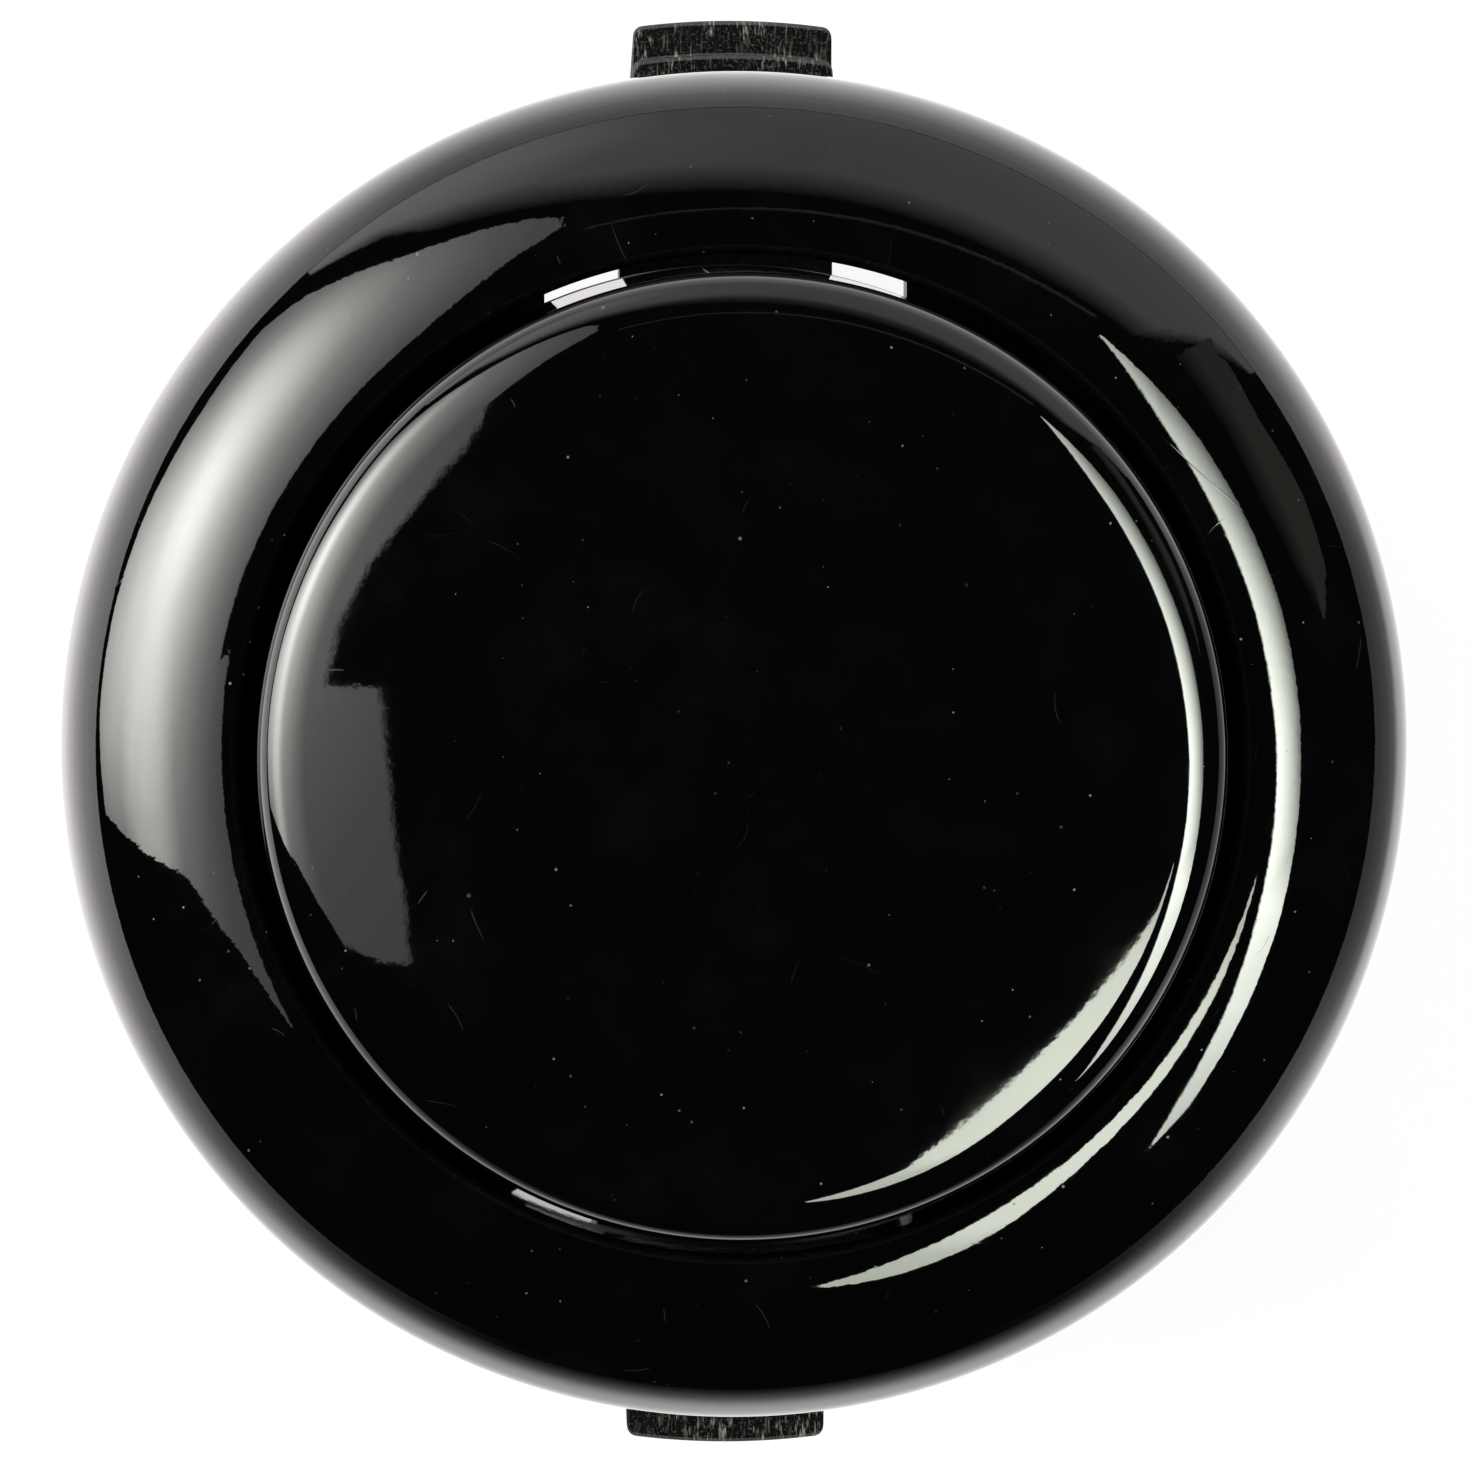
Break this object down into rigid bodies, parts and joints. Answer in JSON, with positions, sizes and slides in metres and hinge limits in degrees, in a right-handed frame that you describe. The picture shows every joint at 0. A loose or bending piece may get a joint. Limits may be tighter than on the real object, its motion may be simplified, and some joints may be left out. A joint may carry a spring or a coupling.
{
  "type": "arcade push button",
  "caption": "Round snap-in push button with a gloss black domed rim and plunger, a stepped snap tongue on each side, and a microswitch with blade terminals under it.",
  "frame": {"origin": "centre of the panel hole, on the face of the panel that the rim rests on", "axes": "+Z out of the panel along the plunger's axis, +Y towards one snap tongue, +X along the switch"},
  "size_m": [0.0334, 0.0358, 0.0313],
  "materials": {
    "black_gloss": "polished gloss",
    "cap_gloss": "polished gloss",
    "switch_plastic": "fine matt",
    "cover_plastic": "fine matt",
    "actuator_plastic": "natural, satin",
    "spring_steel": "drawn wire",
    "terminal_brass": "tinned brass",
    "arm_bronze": "rolled bronze strip",
    "contact_silver": "coined silver"
  },
  "bodies": {
    "housing": {"housing": "black_gloss", "switch_case": "switch_plastic", "switch_cover": "cover_plastic", "common_terminal": "terminal_brass", "open_terminal": "terminal_brass", "fixed_contact": "contact_silver", "return_spring": "spring_steel", "arm_spring": "spring_steel"},
    "plunger": {"plunger": "cap_gloss"},
    "actuator": {"switch_actuator": "actuator_plastic"},
    "arm": {"contact_arm": "arm_bronze", "moving_contact": "contact_silver"}
  },
  "joints": [
    {"name": "plunger_press", "type": "slide", "parent": "housing", "child": "plunger", "axis": [0, 0, -1], "range_m": [0, 0.002], "stiffness_N_per_m": 250, "springref_m": -0.002, "deforming": ["return_spring"]},
    {"name": "actuator_press", "type": "slide", "parent": "housing", "child": "actuator", "axis": [0, 0, -1], "range_m": [0, 0.002]},
    {"name": "arm_tilt", "type": "hinge", "parent": "housing", "child": "arm", "pos_m": [-0.00725, 0, -0.01385], "axis": [0, 1, 0], "range_deg": [0, 15.76], "deforming": ["arm_spring"]}
  ],
  "couplings": [
    {"joint": "actuator_press", "follows": "plunger_press", "ratio": 1},
    {"joint": "arm_tilt", "follows": "plunger_press", "rad_per_m": 137.07}
  ]
}
